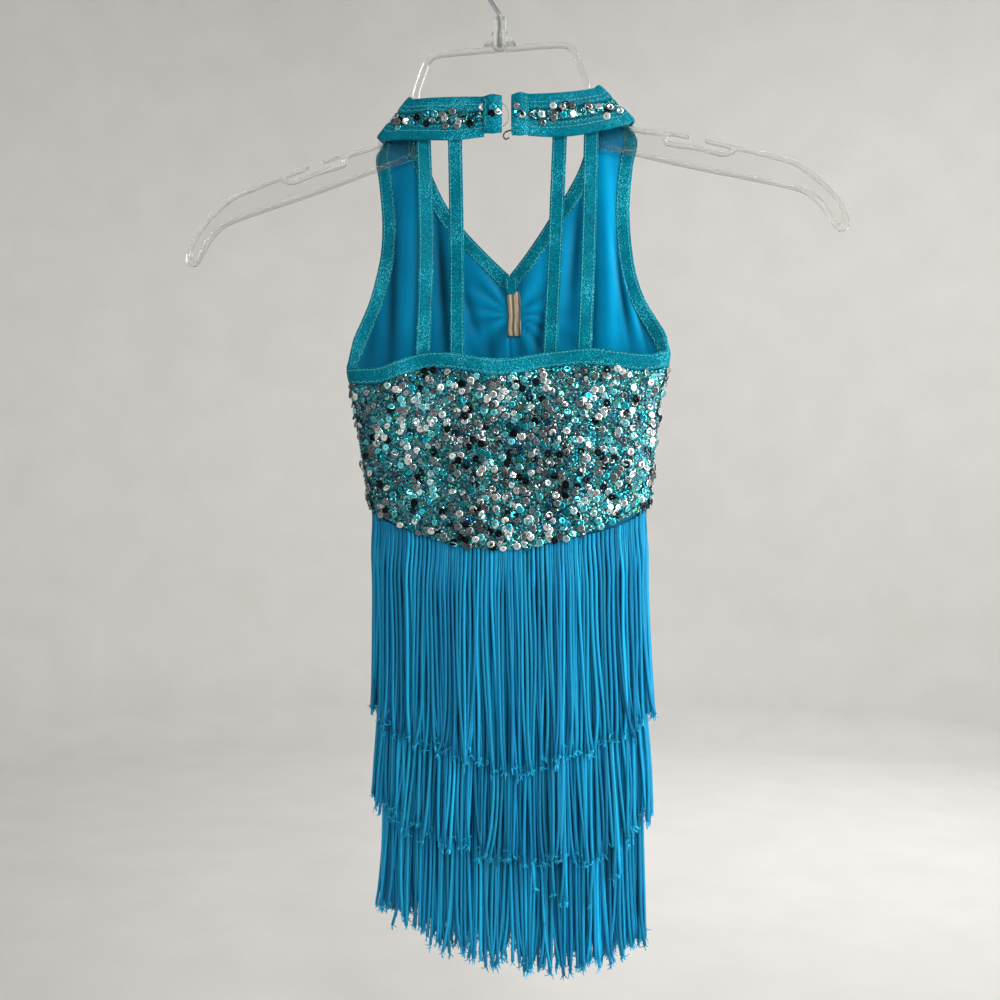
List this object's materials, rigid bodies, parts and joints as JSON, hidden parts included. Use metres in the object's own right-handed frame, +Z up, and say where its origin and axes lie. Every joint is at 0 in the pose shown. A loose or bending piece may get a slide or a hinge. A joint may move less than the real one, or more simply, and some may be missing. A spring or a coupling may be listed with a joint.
{
  "type": "fringe dance costume on a hanger",
  "caption": "halter dance costume with sequin body, strappy open back and tiered fringe skirt, hung on a clear hanger",
  "frame": {"origin": "inside top of the hanger's hook, where a rail carries it", "axes": "+Z up, +X to the right of the costume's back, +Y towards the costume's front"},
  "size_m": [0.4359, 0.0418, 0.6738],
  "materials": {
    "hanger_plastic": "clear moulded polystyrene",
    "hook_steel": "bright plated wire",
    "sequin_cloth": "sequins over glitter mesh",
    "lining": "smooth stretch lining",
    "glitter_binding": "glitter spandex elastic",
    "elastic": "ribbed elastic",
    "closure_wire": "bent wire",
    "clear_loop": "clear elastic",
    "skirt_cloth": "matte stretch knit",
    "fringe": "twisted rayon fringe"
  },
  "bodies": {
    "root": {"hanger_body": "hanger_plastic", "hanger_hook": "hook_steel", "front_panel": "sequin_cloth", "back_panel": "sequin_cloth", "collar_left": "sequin_cloth", "collar_right": "sequin_cloth", "front_lining": "lining", "front_binding_armhole_left": "glitter_binding", "front_binding_armhole_right": "glitter_binding", "front_binding_v_left": "glitter_binding", "front_binding_v_right": "glitter_binding", "back_binding": "glitter_binding", "collar_binding_top_left": "glitter_binding", "collar_binding_low_left": "glitter_binding", "collar_binding_top_right": "glitter_binding", "collar_binding_low_right": "glitter_binding", "collar_tab_left": "glitter_binding", "collar_tab_right": "glitter_binding", "strap_1": "glitter_binding", "strap_2": "glitter_binding", "strap_3": "glitter_binding", "strap_4": "glitter_binding", "gather_elastic": "elastic", "closure_hook": "closure_wire", "closure_loop": "clear_loop", "skirt_base": "skirt_cloth", "fringe_tier_1": "fringe", "fringe_tier_2": "fringe", "fringe_tier_3": "fringe"}
  },
  "joints": []
}
